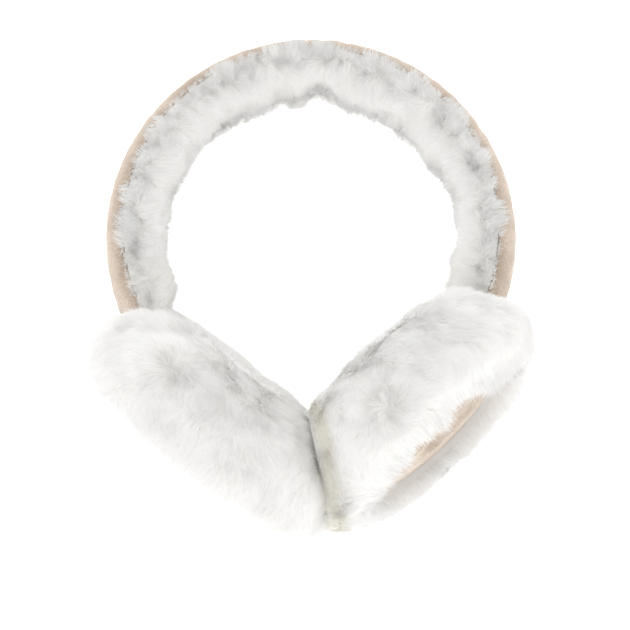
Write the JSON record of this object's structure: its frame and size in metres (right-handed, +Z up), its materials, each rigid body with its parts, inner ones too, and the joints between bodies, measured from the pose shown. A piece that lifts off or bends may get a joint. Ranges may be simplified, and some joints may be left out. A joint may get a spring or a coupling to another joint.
{
  "type": "fur earmuffs",
  "caption": "Shearling earmuffs: a sprung headband with suede outside and fleece inside, and two thick round fleece ear pads with gathered suede discs on their outer faces.",
  "frame": {"origin": "centre of the bounding box in plan, on the surface that the earmuffs lie on", "axes": "+Z up from that surface, +Y from the pads to the crown of the headband, +X to the wearer's left pad as seen lying down (named right_pad)"},
  "size_m": [0.1788, 0.1994, 0.1113],
  "materials": {
    "suede": "napped suede",
    "fleece": "deep soft pile"
  },
  "bodies": {
    "root": {"headband_suede": "suede", "headband_fleece": "fleece", "left_pad_fleece": "fleece", "right_pad_fleece": "fleece", "left_pad_suede": "suede", "right_pad_suede": "suede"}
  },
  "joints": []
}
